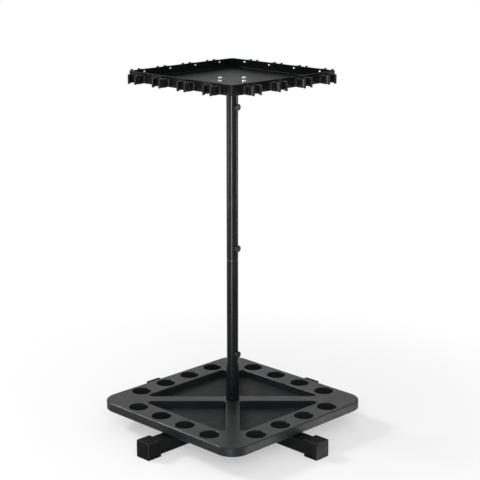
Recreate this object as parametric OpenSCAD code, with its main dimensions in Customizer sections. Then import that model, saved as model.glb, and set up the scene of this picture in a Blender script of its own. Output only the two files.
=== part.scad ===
// Revolving floor rack that holds sixteen fishing rods upright, four along each side.
// A square board with butt holes turns on a ball-race plate above two crossed legs.
// A jointed post in the middle carries a shallow tray with a row of C-clips on each side.
// Origin: floor, under the middle of the post. +Z is up, X and Y run along the legs.

/* [Base board] */
// Side of the square board
board_side = 400; // [370:5:460]
// Thickness of the board
board_t = 19; // [15:1:25]
// Corner radius of the board, seen from above
board_corner_r = 40; // [20:1:55]
// Bevel on the top and bottom edges of the board
board_bevel = 1.5; // [0.5:0.5:3]
// Thickness of the closing panel, let into the underside of the board
panel_t = 3; // [2:0.5:6]
// How far the closing panel stands back from the board's edge
panel_inset = 6; // [4:1:8]

/* [Rod holes] */
// Diameter of the hole for a rod butt
hole_d = 40; // [30:1:42]
// Distance between neighbouring rods along a side
rod_pitch = 70.5; // [64:0.5:74]
// Distance from the board's edge to the middle of a hole
hole_edge = 29; // [27:0.5:31]
// Bevel on the rims of the holes and pockets
rim_bevel = 1; // [0.5:0.25:1.5]

/* [Pockets] */
// Distance from the board's edge to the outer rim of a pocket
pocket_edge = 57; // [54:1:70]
// Width of the diagonal ribs between the pockets
rib_w = 28; // [25:1:40]
// Corner radius of a pocket
pocket_r = 8; // [5:1:12]

/* [Legs] */
// Length of each leg tube
leg_len = 500; // [460:10:600]
// Outer width of the square leg tube
leg_w = 30; // [26:1:36]
// Wall of the leg tube
leg_wall = 1.5; // [1:0.25:2.5]
// Corner radius of the leg tube, seen from its end
leg_corner_r = 2.5; // [1.5:0.25:4]
// Wall of a foot cap under and beside the tube
cap_wall = 3; // [1.5:0.25:4]
// End wall of a foot cap
cap_end = 4.5; // [2:0.5:6]
// Length of a foot cap
cap_len = 34; // [20:1:40]

/* [Turntable] */
// Side of the two turntable plates
plate_w = 150; // [146:2:170]
// Sheet thickness of the turntable plates
plate_t = 1.6; // [1.4:0.1:2]
// Diameter of a bearing ball
ball_d = 5; // [4.6:0.2:6]
// Diameter of the circle of balls
race_d = 104; // [102:1:106]
// Depth of the ball groove pressed into each plate
groove_depth = 0.6; // [0.4:0.1:0.8]
// Outer diameter of the eyelet that holds the plates together
eyelet_d = 66; // [60:1:70]

/* [Post] */
// Outer diameter of the post tubes
tube_d = 24; // [22:0.5:26]
// Wall of the post tubes
tube_wall = 1.5; // [1:0.1:2]
// Height of the socket collar above the board
socket_h = 78; // [50:1:100]
// Diameter of the socket collar at its foot
socket_foot_d = 29; // [28:0.5:34]
// Diameter of the socket collar at its top
socket_top_d = 26.6; // [26.4:0.2:30]
// Height of the flare at the socket collar's foot
socket_flare_h = 12; // [6:1:25]
// Length of the lower tube
lower_len = 224; // [150:1:400]
// Length of the upper tube
upper_len = 340; // [250:1:500]
// Height of the ring that shows between the two tubes
joint_ring_h = 5; // [3:0.5:8]
// Length of each spigot inside a tube
spigot_len = 45; // [38:1:60]
// Bore of the hollow spigots
spigot_bore_d = 10; // [8:0.5:11]

/* [Lock knobs] */
// Distance from a joint of the post to the knob that locks it
knob_rise = 24; // [18:0.5:30]
// Diameter of a lock knob
knob_d = 14; // [12:0.5:18]
// Thickness of a lock knob
knob_t = 6; // [5:0.5:9]
// Thread diameter of a lock knob
stud_d = 6; // [5:0.5:8]

/* [Tray] */
// Side of the square tray
tray_side = 294; // [280:2:310]
// Height of the tray's walls
tray_h = 21; // [20:1:30]
// Thickness of the tray's walls
tray_wall = 3; // [2:0.5:4]
// Thickness of the tray's floor
tray_floor = 3; // [2:0.5:5]
// Corner radius of the tray
tray_corner_r = 8; // [6:1:20]
// Height of the collar under the tray
hub_h = 23; // [15:1:40]
// Diameter of the collar under the tray
hub_d = 27; // [26.5:0.5:34]
// Diameter of the flange under the tray
flange_d = 90; // [84:1:110]
// Thickness of the flange under the tray
flange_t = 4; // [3:0.5:8]

/* [Rod clips] */
// Height of a clip's lips, from the tray's underside up
clip_h = 19; // [16:1:20]
// Outer diameter of a clip's ring
clip_d = 29; // [27:0.5:31]
// Wall of a clip's ring
clip_wall = 3.5; // [3:0.25:4]
// Distance from the tray's wall to the middle of a clip's ring
clip_out = 15; // [14.5:0.25:16]
// Free width of a clip's mouth
clip_mouth = 14; // [10:0.5:15]
// Diameter of the round lips beside the mouth
lip_d = 5; // [4:0.25:6]
// How much lower than the lips a clip's ring is, above and below
clip_step = 1; // [0.5:0.25:2]
// Width of the pad that seats a clip on the tray's wall
pad_w = 24; // [18:1:26]
// Depth of the pad that seats a clip on the tray's wall
pad_t = 4.5; // [3.5:0.25:6]

/* [Hidden] */
// Four rods stand along each side
per_side = 4;
sides = ["front_left", "front_right", "back_right", "back_left"];

// Clearances: a slip-on cap, a hole for a screw, a running or push fit, round the closing panel
slip = 0.1;
screw_gap = 0.2;
fit = 0.05;
panel_gap = 0.3;
// Bevels on small turned and moulded edges
edge = 0.6;

// Heights from the floor up
leg_top = cap_wall + leg_w;
race_gap = ball_d - 2 * groove_depth;
upper_plate_z = leg_top + plate_t + race_gap;
board_z = upper_plate_z + plate_t;
board_top = board_z + board_t;
socket_top = board_top + socket_h;
ring_z = socket_top + lower_len;
upper_z = ring_z + joint_ring_h;
hub_z = upper_z + upper_len;
tray_z = hub_z + hub_h + flange_t;
tray_top = tray_z + tray_h;
ball_z = leg_top + plate_t + race_gap / 2;

// Fasteners: M5 leg bolts, 4 mm turntable screws, 3.5 mm panel screws, M8 post bolt
leg_bolt_d = 5;
leg_bolt_head = [9, 1.6];
leg_bolt_len = 14;
leg_bolt_r = plate_w / 2 - 8;
leg_nut = [8, 4];
plate_screw_d = 4;
plate_screw_head = [8, 1.6];
plate_screw_bite = 12;
plate_screw_xy = plate_w / 2 - 13;
panel_screw_d = 3.5;
panel_screw_head = [7, 2];
panel_screw_bite = 10;
post_bolt_d = 8;
post_bolt_head = [13, 3.4];
post_bolt_bite = 30;
post_washer = [24, 1.5];
hub_screw_d = 5;
hub_screw_head = [9, 2.6];
hub_screw_r = flange_d / 2 - 11;
clip_screw_d = 3;
clip_screw_head = [6, 2];
clip_screw_bite = clip_out - clip_d / 2 + clip_wall - 1;
clip_screw_drop = 4;

// Turntable: the eyelet grips a stepped rim pressed in the middle of each plate
ball_count = 20;
cage_t = 1;
cage_half_w = 5.5;
rim_r = race_d / 2 - cage_half_w - 1 - plate_t;
eyelet_wall = 1.5;
eyelet_flange = 1.2;
eyelet_flange_r = eyelet_d / 2 + 6;

// Post: the stud of a knob ends inside the spigot's wall
tube_bore_d = tube_d - 2 * tube_wall;
socket_flare_d = socket_top_d + 0.25 * (socket_foot_d - socket_top_d);
spigot_d = tube_bore_d - 2 * fit;
stud_end = spigot_bore_d / 2 + 0.5;
knob_gap = 0.3;
ring_step = 0.4;
knob_dish = [0.55 * knob_d, 0.8];
knob_grips = 10;
knob_z = [socket_top + knob_rise, upper_z + knob_rise, hub_z - knob_rise];

// Places along a side, from its middle
rod_places = [for (k = [0 : per_side - 1]) (k - (per_side - 1) / 2) * rod_pitch];
hole_line = board_side / 2 - hole_edge;
clip_screw_z = tray_z + clip_h - clip_screw_drop;

// Screws under the panel: near the corners, mid-side and on the diagonal ribs
panel_edge_xy = board_side / 2 - hole_edge - 4;
rib_screw_xy = plate_w / 2 + 27;
panel_screw_places = [
    for (x = [-1, 1], y = [-1, 1]) [x * panel_edge_xy, y * panel_edge_xy],
    for (x = [-1, 1], y = [-1, 1]) [x * rib_screw_xy, y * rib_screw_xy],
    for (a = [0 : 90 : 270]) [cos(a) * hole_line, sin(a) * hole_line]
];

$fn = 64;
// Cuts run this far past the faces that they open
past = 1;

// Basic shapes

// Cross-section of a slab of width w with bevelled edges, standing on y = 0
module slab_profile(w, t, bevel) {
    polygon([
        [-w / 2 + bevel, 0], [w / 2 - bevel, 0], [w / 2, bevel], [w / 2, t - bevel],
        [w / 2 - bevel, t], [-w / 2 + bevel, t], [-w / 2, t - bevel], [-w / 2, bevel]
    ]);
}

// Square slab with round corners and bevelled top and bottom edges
module bevel_slab(w, t, r, bevel) {
    core = w - 2 * r;
    for (a = [0, 90])
        rotate([90, 0, 90 + a])
            translate([0, 0, -core / 2])
                linear_extrude(core)
                    slab_profile(w, t, bevel);
    for (x = [-1, 1], y = [-1, 1])
        translate([x * core / 2, y * core / 2, 0])
            bevel_disc(2 * r, t, bevel);
}

// Round disc with bevelled edges
module bevel_disc(d, t, bevel) {
    rotate_extrude()
        intersection() {
            slab_profile(d, t, bevel);
            square([d, t]);
        }
}

// Square with round corners
module round_square(w, r) {
    square([w, w - 2 * r], center = true);
    square([w - 2 * r, w], center = true);
    for (x = [-1, 1], y = [-1, 1])
        translate([x * (w / 2 - r), y * (w / 2 - r)])
            circle(r);
}

// Square prism with round corners
module round_prism(w, t, r) {
    linear_extrude(t)
        round_square(w, r);
}

// Round tube with bevelled ends
module round_tube(d, bore, h) {
    difference() {
        bevel_disc(d, h, edge);
        translate([0, 0, -past])
            cylinder(d = bore, h = h + 2 * past);
    }
}

// Low domed screw head, with its flat face on z = 0
module dome_head(size) {
    r = size[0] / 2;
    ball_r = (r * r + size[1] * size[1]) / (2 * size[1]);
    intersection() {
        translate([0, 0, size[1] - ball_r])
            sphere(r = ball_r);
        cylinder(r = r, h = size[1]);
    }
}

// Domed screw: head above z = 0, shank below it
module dome_screw(d, length, head) {
    dome_head(head);
    translate([0, 0, -length])
        cylinder(d = d, h = length + head[1] / 2);
}

// Puts a copy of the children at each of the four ends, a quarter turn apart
module four_ways() {
    for (a = [0 : 90 : 270])
        rotate([0, 0, a])
            children();
}

// Legs

// Square leg tube along X, resting in the foot caps
module leg_tube() {
    translate([-leg_len / 2, 0, cap_wall + leg_w / 2])
        rotate([90, 0, 90])
            linear_extrude(leg_len)
                difference() {
                    round_square(leg_w, leg_corner_r);
                    round_square(leg_w - 2 * leg_wall, leg_corner_r - leg_wall / 2);
                }
}

// Holes in the top wall for the two bolts of a leg
module leg_bolt_holes() {
    for (x = [-1, 1])
        translate([x * leg_bolt_r, 0, leg_top - leg_wall - past])
            cylinder(d = leg_bolt_d + 2 * screw_gap, h = leg_wall + 2 * past);
}

// Half-lap notch: the other leg crosses in it
module lap_notch() {
    w = leg_w + 2 * slip;
    translate([-w / 2, -leg_w / 2 - past, 0])
        cube([w, leg_w + 2 * past, leg_w / 2 + past]);
}

module leg_x() {
    color("#26262a")
        difference() {
            leg_tube();
            leg_bolt_holes();
            translate([0, 0, cap_wall + leg_w / 2 - fit])
                lap_notch();
        }
}

module leg_y() {
    color("#26262a")
        rotate([0, 0, 90])
            difference() {
                leg_tube();
                leg_bolt_holes();
                translate([0, 0, cap_wall + leg_w / 2 + fit])
                    mirror([0, 0, 1])
                        lap_notch();
            }
}

// Square cap pushed over the end of a leg, which stands on it
module foot_cap(angle) {
    w = leg_w + 2 * cap_wall;
    hole = leg_w + 2 * slip;
    start = leg_len / 2 + cap_end - cap_len;
    color("#1b1b1d")
        rotate([0, 0, angle])
            difference() {
                intersection() {
                    translate([start, 0, 0])
                        rotate([90, 0, 90])
                            linear_extrude(cap_len)
                                slab_profile(w, w, edge);
                    translate([start + cap_len - w / 2, w / 2, 0])
                        rotate([90, 0, 0])
                            linear_extrude(w)
                                slab_profile(w, w, edge);
                }
                translate([start - past, -hole / 2, cap_wall - slip])
                    cube([cap_len - cap_end + past, hole, hole]);
            }
}

module foot_cap_front_left() { foot_cap(270); }
module foot_cap_front_right() { foot_cap(0); }
module foot_cap_back_right() { foot_cap(90); }
module foot_cap_back_left() { foot_cap(180); }

// Bolts that clamp the lower turntable plate to both legs
module leg_bolts() {
    color("#b9bcc2")
        four_ways()
            translate([leg_bolt_r, 0, leg_top + plate_t])
                dome_screw(leg_bolt_d, leg_bolt_len, leg_bolt_head);
}

// Hexagon nuts welded inside the top walls of the legs
module leg_nuts() {
    color("#9a9da3")
        four_ways()
            translate([leg_bolt_r, 0, leg_top - leg_wall - leg_nut[1]])
                difference() {
                    cylinder(d = leg_nut[0] / cos(30), h = leg_nut[1], $fn = 6);
                    translate([0, 0, -past])
                        cylinder(d = leg_bolt_d + 2 * fit, h = leg_nut[1] + 2 * past);
                }
}

// Turntable

// One pressed plate, lying with its outer face on z = 0 and its race facing up
module turntable_plate() {
    difference() {
        union() {
            difference() {
                round_prism(plate_w, plate_t, 10);
                translate([0, 0, -past])
                    cylinder(r = rim_r + plate_t / 2, h = plate_t + 2 * past);
            }
            rotate_extrude()
                polygon([
                    [eyelet_d / 2 + slip, plate_t], [rim_r, plate_t], [rim_r, 0], [rim_r + plate_t, 0],
                    [rim_r + plate_t, 2 * plate_t], [eyelet_d / 2 + slip, 2 * plate_t]
                ]);
        }
        translate([0, 0, plate_t + race_gap / 2])
            rotate_extrude()
                translate([race_d / 2, 0])
                    circle(d = ball_d + 2 * fit);
    }
}

// Holes on the plate's diagonals
module diagonal_holes(d) {
    four_ways()
        translate([plate_screw_xy, plate_screw_xy, -past])
            cylinder(d = d, h = plate_t + 2 * past);
}

module turntable_lower_plate() {
    color("#c3c6cb")
        translate([0, 0, leg_top])
            difference() {
                turntable_plate();
                four_ways()
                    translate([leg_bolt_r, 0, -past])
                        cylinder(d = leg_bolt_d + 2 * screw_gap, h = plate_t + 2 * past);
                // A screwdriver reaches the upper plate's screws through these
                diagonal_holes(plate_screw_head[0] + 2);
            }
}

module turntable_upper_plate() {
    color("#c3c6cb")
        translate([0, 0, board_z])
            mirror([0, 0, 1])
                difference() {
                    turntable_plate();
                    diagonal_holes(plate_screw_d + 2 * screw_gap);
                }
}

// Ring of places round the ball race
module race_places() {
    for (k = [0 : ball_count - 1])
        rotate([0, 0, k * 360 / ball_count])
            translate([race_d / 2, 0, 0])
                children();
}

module turntable_balls() {
    color("#e2e4e8")
        translate([0, 0, ball_z])
            race_places()
                sphere(d = ball_d);
}

// Flat ring that keeps the balls apart and turns at half the board's speed
module turntable_ball_cage() {
    color("#d8d2be")
        translate([0, 0, ball_z - cage_t / 2])
            difference() {
                cylinder(r = race_d / 2 + cage_half_w, h = cage_t);
                translate([0, 0, -past])
                    cylinder(r = race_d / 2 - cage_half_w, h = cage_t + 2 * past);
                translate([0, 0, -past])
                    race_places()
                        cylinder(d = ball_d + 2 * slip, h = cage_t + 2 * past);
            }
}

// Rolled eyelet: its two flanges stop the plates coming apart
module turntable_eyelet() {
    r = eyelet_d / 2;
    low = leg_top + plate_t - slip;
    high = board_z - plate_t + slip;
    color("#c3c6cb")
        rotate_extrude()
            polygon([
                [r - eyelet_wall, low - eyelet_flange], [eyelet_flange_r, low - eyelet_flange],
                [eyelet_flange_r, low], [r, low], [r, high], [eyelet_flange_r, high],
                [eyelet_flange_r, high + eyelet_flange], [r - eyelet_wall, high + eyelet_flange]
            ]);
}

// Screws from below that hold the board on the upper plate
module turntable_screws() {
    color("#b9bcc2")
        four_ways()
            translate([plate_screw_xy, plate_screw_xy, upper_plate_z])
                mirror([0, 0, 1])
                    dome_screw(plate_screw_d, plate_t + panel_t + plate_screw_bite, plate_screw_head);
}

// Board

// Corners of a pocket, where its corner arcs are centred
pocket_half = board_side / 2 - pocket_edge;
rib_side = rib_w / sqrt(2);
pocket_base_y = pocket_half - pocket_r;
pocket_tip_y = rib_side + pocket_r * sqrt(2);
pocket_base_x = pocket_half - rib_side - pocket_r * (1 + sqrt(2));
pocket_centres = [
    [0, -pocket_tip_y], [pocket_base_x, -pocket_base_y], [-pocket_base_x, -pocket_base_y]
];

// Outline of one three-cornered pocket: its arcs and the straight sides between them
module pocket_outline() {
    s = pocket_r / sqrt(2);
    polygon([
        [-s, -pocket_tip_y + s], [s, -pocket_tip_y + s],
        [pocket_base_x + s, -pocket_base_y + s], [pocket_base_x, -pocket_base_y - pocket_r],
        [-pocket_base_x, -pocket_base_y - pocket_r], [-pocket_base_x - s, -pocket_base_y + s]
    ]);
    for (c = pocket_centres)
        translate(c)
            circle(pocket_r);
}

// A pocket through the board, with a bevelled rim
module pocket_cut() {
    translate([0, 0, -past])
        linear_extrude(board_t + 2 * past)
            pocket_outline();
    hull()
        for (c = pocket_centres)
            translate([c[0], c[1], board_t - rim_bevel])
                cylinder(r1 = pocket_r, r2 = pocket_r + 2 * rim_bevel, h = 2 * rim_bevel);
}

// A round hole for a rod butt, with a bevelled rim
module rod_hole() {
    translate([0, 0, -past])
        cylinder(d = hole_d, h = board_t + 2 * past);
    translate([0, 0, board_t - rim_bevel])
        cylinder(d1 = hole_d, d2 = hole_d + 4 * rim_bevel, h = 2 * rim_bevel);
}

// Board with a recess below that the closing panel lies in
module base_board() {
    color("#303034")
        translate([0, 0, board_z])
            difference() {
                bevel_slab(board_side, board_t, board_corner_r, board_bevel);
                translate([0, 0, -past])
                    round_prism(
                        board_side - 2 * (panel_inset - panel_gap), panel_t + past,
                        board_corner_r - panel_inset + panel_gap
                    );
                four_ways() {
                    for (x = rod_places)
                        translate([x, -hole_line, 0])
                            rod_hole();
                    pocket_cut();
                    translate([plate_screw_xy, plate_screw_xy, panel_t - past])
                        cylinder(d = plate_screw_d + 2 * fit, h = plate_screw_bite + past);
                }
                translate([0, 0, -past])
                    cylinder(d = post_bolt_d + 2 * screw_gap, h = board_t + 2 * past);
                for (p = panel_screw_places)
                    translate([p[0], p[1], panel_t - past])
                        cylinder(d = panel_screw_d + 2 * fit, h = panel_screw_bite + past);
            }
}

// Thin panel that closes the holes and pockets from below
module base_bottom_panel() {
    color("#262629")
        translate([0, 0, board_z])
            difference() {
                round_prism(board_side - 2 * panel_inset, panel_t, board_corner_r - panel_inset);
                translate([0, 0, -past])
                    cylinder(d = post_bolt_d + 2 * screw_gap, h = panel_t + 2 * past);
                four_ways()
                    translate([plate_screw_xy, plate_screw_xy, -past])
                        cylinder(d = plate_screw_d + 2 * screw_gap, h = panel_t + 2 * past);
                for (p = panel_screw_places)
                    translate([p[0], p[1], -past])
                        cylinder(d = panel_screw_d + 2 * screw_gap, h = panel_t + 2 * past);
            }
}

module panel_screws() {
    color("#8f9298")
        for (p = panel_screw_places)
            translate([p[0], p[1], board_z])
                mirror([0, 0, 1])
                    dome_screw(panel_screw_d, panel_t + panel_screw_bite, panel_screw_head);
}

// Post

// Hole for a knob's stud, from the axis out through the +X side
module stud_hole(z, gap) {
    translate([0, 0, z])
        rotate([0, 90, 0])
            cylinder(d = stud_d + 2 * gap, h = tube_d);
}

// Tapered collar, flared at its foot on the board, with a spigot for the lower tube
module post_socket() {
    color("#202023")
        difference() {
            rotate_extrude()
                polygon([
                    [0, board_top], [socket_foot_d / 2, board_top],
                    [socket_flare_d / 2, board_top + socket_flare_h],
                    [socket_top_d / 2, socket_top - edge], [socket_top_d / 2 - edge, socket_top],
                    [spigot_d / 2, socket_top], [spigot_d / 2, socket_top + spigot_len - edge],
                    [spigot_d / 2 - edge, socket_top + spigot_len], [0, socket_top + spigot_len]
                ]);
            translate([0, 0, board_top - past])
                cylinder(d = post_bolt_d + 2 * fit, h = post_bolt_bite + 2 * past);
            translate([0, 0, board_top + post_bolt_bite])
                cylinder(d = spigot_bore_d, h = socket_h + spigot_len);
            stud_hole(knob_z[0], fit);
        }
}

// Bolt from below that pulls the socket down on the board
module post_bolt() {
    color("#8f9298")
        translate([0, 0, board_z - post_washer[1]])
            mirror([0, 0, 1])
                dome_screw(post_bolt_d, post_washer[1] + board_t + post_bolt_bite, post_bolt_head);
}

module post_washer() {
    color("#b9bcc2")
        translate([0, 0, board_z - post_washer[1]])
            difference() {
                cylinder(d = post_washer[0], h = post_washer[1]);
                translate([0, 0, -past])
                    cylinder(d = post_bolt_d + 2 * screw_gap, h = post_washer[1] + 2 * past);
            }
}

module lower_tube() {
    color("#232327")
        difference() {
            translate([0, 0, socket_top])
                round_tube(tube_d, tube_bore_d, lower_len);
            stud_hole(knob_z[0], fit);
        }
}

// Inner sleeve that joins the tubes, with a ring that shows between them
module tube_joiner() {
    color("#1b1b1d")
        difference() {
            union() {
                translate([0, 0, ring_z - spigot_len])
                    bevel_disc(spigot_d, 2 * spigot_len + joint_ring_h, edge);
                translate([0, 0, ring_z])
                    bevel_disc(tube_d - ring_step, joint_ring_h, edge);
            }
            translate([0, 0, ring_z - spigot_len - past])
                cylinder(d = spigot_bore_d, h = 2 * spigot_len + joint_ring_h + 2 * past);
            stud_hole(knob_z[1], fit);
        }
}

module upper_tube() {
    color("#232327")
        difference() {
            translate([0, 0, upper_z])
                round_tube(tube_d, tube_bore_d, upper_len);
            stud_hole(knob_z[1], fit);
            stud_hole(knob_z[2], fit);
        }
}

// Lock knobs

// Round head with a fluted edge and a dished face, on the +X side of the post
module lock_knob(z) {
    flute_d = knob_d * 0.16;
    color("#1b1b1d")
        translate([tube_d / 2 + knob_gap, 0, z])
            rotate([0, 90, 0])
                difference() {
                    bevel_disc(knob_d, knob_t, 1);
                    for (k = [0 : knob_grips - 1])
                        rotate([0, 0, k * 360 / knob_grips])
                            translate([knob_d / 2 + flute_d / 4, 0, -past])
                                cylinder(d = flute_d, h = knob_t + 2 * past, $fn = 24);
                    translate([0, 0, knob_t - knob_dish[1]])
                        cylinder(d = knob_dish[0], h = knob_dish[1] + past);
                    translate([0, 0, -past])
                        cylinder(d = stud_d, h = knob_t / 2 + past);
                }
}

// Steel stud moulded into a knob's head
module lock_stud(z) {
    color("#b9bcc2")
        translate([stud_end, 0, z])
            rotate([0, 90, 0])
                cylinder(d = stud_d, h = tube_d / 2 + knob_gap + knob_t / 2 - stud_end);
}

module lock_knob_low() { lock_knob(knob_z[0]); }
module lock_knob_mid() { lock_knob(knob_z[1]); }
module lock_knob_top() { lock_knob(knob_z[2]); }
module lock_stud_low() { lock_stud(knob_z[0]); }
module lock_stud_mid() { lock_stud(knob_z[1]); }
module lock_stud_top() { lock_stud(knob_z[2]); }

// Tray

// Spigot, collar and flange that carry the tray on the upper tube
module tray_hub() {
    color("#202023")
        difference() {
            rotate_extrude()
                polygon([
                    [0, hub_z - spigot_len], [spigot_d / 2 - edge, hub_z - spigot_len],
                    [spigot_d / 2, hub_z - spigot_len + edge], [spigot_d / 2, hub_z],
                    [hub_d / 2 - edge, hub_z], [hub_d / 2, hub_z + edge],
                    [hub_d / 2, tray_z - flange_t], [flange_d / 2, tray_z - flange_t],
                    [flange_d / 2, tray_z], [0, tray_z]
                ]);
            translate([0, 0, hub_z - spigot_len - past])
                cylinder(d = spigot_bore_d, h = spigot_len + hub_h + past);
            stud_hole(knob_z[2], fit);
            four_ways()
                translate([hub_screw_r, 0, tray_z - flange_t - past])
                    cylinder(d = hub_screw_d + 2 * fit, h = flange_t + 2 * past);
        }
}

// Screws through the tray's floor into the flange
module hub_screws() {
    color("#b9bcc2")
        four_ways()
            translate([hub_screw_r, 0, tray_z + tray_floor])
                dome_screw(hub_screw_d, tray_floor + flange_t + 2, hub_screw_head);
}

module tray() {
    color("#242427")
        difference() {
            translate([0, 0, tray_z])
                bevel_slab(tray_side, tray_h, tray_corner_r, edge);
            translate([0, 0, tray_z + tray_floor])
                round_prism(tray_side - 2 * tray_wall, tray_h, tray_corner_r - tray_wall);
            four_ways() {
                translate([hub_screw_r, 0, tray_z - past])
                    cylinder(d = hub_screw_d + 2 * screw_gap, h = tray_floor + 2 * past);
                for (x = rod_places)
                    translate([x, -tray_side / 2 - past, clip_screw_z])
                        rotate([-90, 0, 0])
                            cylinder(d = clip_screw_d + 2 * screw_gap, h = tray_wall + 2 * past);
            }
        }
}

// Screws from inside the tray, one into the pad of each clip
module clip_screws() {
    color("#d3d6da")
        four_ways()
            for (x = rod_places)
                translate([x, -tray_side / 2 + tray_wall, clip_screw_z])
                    rotate([-90, 0, 0])
                        dome_screw(clip_screw_d, tray_wall + clip_screw_bite, clip_screw_head);
}

// Rod clips

// Middle of a lip, from the middle of its clip's ring
lip_r = clip_d / 2 - clip_wall + lip_d / 2;
lip_x = (clip_mouth + lip_d) / 2;
lip_y = sqrt(lip_r * lip_r - lip_x * lip_x);

// Seen from above, with the tray's wall along y = 0 and the mouth towards -y
module clip_outline() {
    difference() {
        union() {
            translate([0, -clip_out])
                circle(d = clip_d);
            translate([-pad_w / 2, -pad_t])
                square([pad_w, pad_t]);
        }
        translate([0, -clip_out]) {
            circle(d = clip_d - 2 * clip_wall);
            polygon([[0, 0], [-3 * lip_x, -3 * lip_y], [3 * lip_x, -3 * lip_y]]);
        }
    }
}

// A springy C that takes a rod through its mouth, between two lips taller than its ring
module rod_clip(side, place) {
    color("#1f1f22")
        rotate([0, 0, 90 * side])
            translate([rod_places[place], -tray_side / 2, tray_z])
                difference() {
                    union() {
                        translate([0, 0, clip_step])
                            linear_extrude(clip_h - 2 * clip_step)
                                clip_outline();
                        for (x = [-1, 1])
                            translate([x * lip_x, -clip_out - lip_y, 0])
                                bevel_disc(lip_d, clip_h, edge);
                    }
                    translate([0, -clip_screw_bite, clip_screw_z - tray_z])
                        rotate([-90, 0, 0])
                            cylinder(d = clip_screw_d + 2 * fit, h = clip_screw_bite + past);
                }
}

leg_x();
leg_y();
foot_cap_front_left();
foot_cap_front_right();
foot_cap_back_right();
foot_cap_back_left();
leg_bolts();
leg_nuts();
turntable_lower_plate();
turntable_upper_plate();
turntable_balls();
turntable_ball_cage();
turntable_eyelet();
turntable_screws();
base_board();
base_bottom_panel();
panel_screws();
post_socket();
post_bolt();
post_washer();
lower_tube();
tube_joiner();
upper_tube();
lock_knob_low();
lock_knob_mid();
lock_knob_top();
lock_stud_low();
lock_stud_mid();
lock_stud_top();
tray_hub();
hub_screws();
tray();
clip_screws();
for (side = [0 : len(sides) - 1], place = [0 : per_side - 1])
    rod_clip(side, place);
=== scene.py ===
import bpy
import bmesh
from math import atan2, cos, pi, radians, sin, sqrt, tan
from mathutils import Matrix, Vector
from mathutils.geometry import tessellate_polygon


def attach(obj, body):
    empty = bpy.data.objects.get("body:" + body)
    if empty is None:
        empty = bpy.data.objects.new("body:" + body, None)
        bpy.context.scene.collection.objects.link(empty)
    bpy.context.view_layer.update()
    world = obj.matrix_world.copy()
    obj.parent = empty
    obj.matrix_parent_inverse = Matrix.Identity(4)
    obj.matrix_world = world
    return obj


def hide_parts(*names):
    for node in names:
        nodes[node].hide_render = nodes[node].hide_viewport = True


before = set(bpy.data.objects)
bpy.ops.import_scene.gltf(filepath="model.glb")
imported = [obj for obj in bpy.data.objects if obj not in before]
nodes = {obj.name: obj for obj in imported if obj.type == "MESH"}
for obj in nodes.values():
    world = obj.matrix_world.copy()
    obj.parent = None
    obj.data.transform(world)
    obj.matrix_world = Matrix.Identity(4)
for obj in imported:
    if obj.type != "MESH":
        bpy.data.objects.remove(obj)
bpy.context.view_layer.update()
scene = bpy.context.scene
scene.view_settings.view_transform = "Standard"
print("loaded", len(nodes), "CAD nodes")


def linearRgb(hexText):
    channels = [int(hexText[i:i + 2], 16) / 255 for i in (1, 3, 5)]
    linear = [c / 12.92 if c <= 0.04045 else ((c + 0.055) / 1.055) ** 2.4 for c in channels]
    return (*linear, 1.0)


def addNode(tree, kind, inputs=None, **settings):
    node = tree.nodes.new(kind)
    for name, value in settings.items():
        setattr(node, name, value)
    for name, value in (inputs or {}).items():
        if isinstance(value, bpy.types.NodeSocket):
            tree.links.new(value, node.inputs[name])
        else:
            node.inputs[name].default_value = value
    return node


def perMillimetres(size):
    return 1000 / size  # scale of a pattern whose grain is this many millimetres


# nearly all of a noise texture lies between these two values
noiseLow = 0.3
noiseHigh = 0.7


def startMaterial(name, **shaderInputs):
    material = bpy.data.materials.new(name)
    material.use_nodes = True
    tree = material.node_tree
    shader = tree.nodes["Principled BSDF"]
    for label, value in shaderInputs.items():
        shader.inputs[label.replace("_", " ")].default_value = value
    place = addNode(tree, "ShaderNodeTexCoord").outputs["Object"]
    return material, tree, shader, place


def unevenColour(tree, shader, place, dark, light, grain):
    blotches = addNode(tree, "ShaderNodeTexNoise", {
        "Vector": place, "Scale": perMillimetres(grain), "Detail": 5.0, "Roughness": 0.6})
    ramp = addNode(tree, "ShaderNodeValToRGB", {"Fac": blotches.outputs["Fac"]})
    ramp.color_ramp.elements[0].position = noiseLow
    ramp.color_ramp.elements[1].position = noiseHigh
    ramp.color_ramp.elements[0].color = linearRgb(dark)
    ramp.color_ramp.elements[1].color = linearRgb(light)
    tree.links.new(ramp.outputs["Color"], shader.inputs["Base Color"])
    return ramp.outputs["Color"]


def unevenGloss(tree, shader, place, smooth, rough, grain):
    patches = addNode(tree, "ShaderNodeTexNoise", {
        "Vector": place, "Scale": perMillimetres(grain), "Detail": 4.0, "Roughness": 0.65})
    spread = addNode(tree, "ShaderNodeMapRange", {
        "Value": patches.outputs["Fac"], "From Min": noiseLow, "From Max": noiseHigh,
        "To Min": smooth, "To Max": rough})
    tree.links.new(spread.outputs["Result"], shader.inputs["Roughness"])
    return spread.outputs["Result"]


def grainBump(tree, shader, place, grain, depth, strength):
    grit = addNode(tree, "ShaderNodeTexNoise", {
        "Vector": place, "Scale": perMillimetres(grain), "Detail": 3.0, "Roughness": 0.55})
    bump = addNode(tree, "ShaderNodeBump", {
        "Height": grit.outputs["Fac"], "Distance": depth, "Strength": strength})
    tree.links.new(bump.outputs["Normal"], shader.inputs["Normal"])


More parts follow.
